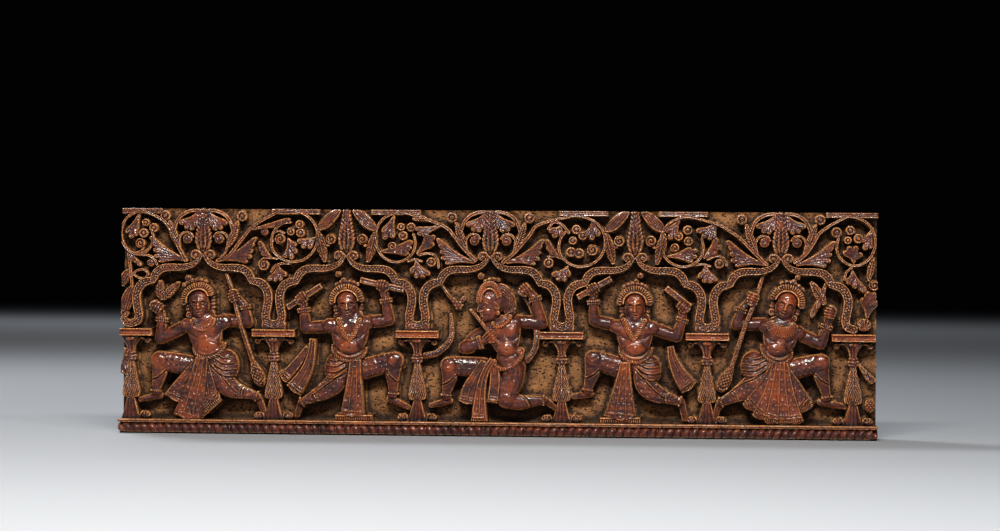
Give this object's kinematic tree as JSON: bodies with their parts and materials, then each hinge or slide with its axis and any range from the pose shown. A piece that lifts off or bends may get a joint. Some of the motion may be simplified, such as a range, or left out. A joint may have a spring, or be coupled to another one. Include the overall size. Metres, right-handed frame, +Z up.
{
  "type": "carved wooden relief panel",
  "caption": "Long carved hardwood relief panel with dancing figures under cusped arches, scrolling foliage above them and a twisted rope moulding along the foot.",
  "frame": {"origin": "middle of the underside, halfway along the panel and halfway through its depth", "axes": "+X along the panel to the viewer's right, +Y into the panel away from the carved face, +Z up"},
  "size_m": [0.67, 0.05, 0.2],
  "materials": {
    "hardwood": "polished reddish-brown hardwood, with a duller golden-brown ground behind the carving"
  },
  "bodies": {
    "root": {"relief_panel": "hardwood"}
  },
  "joints": []
}
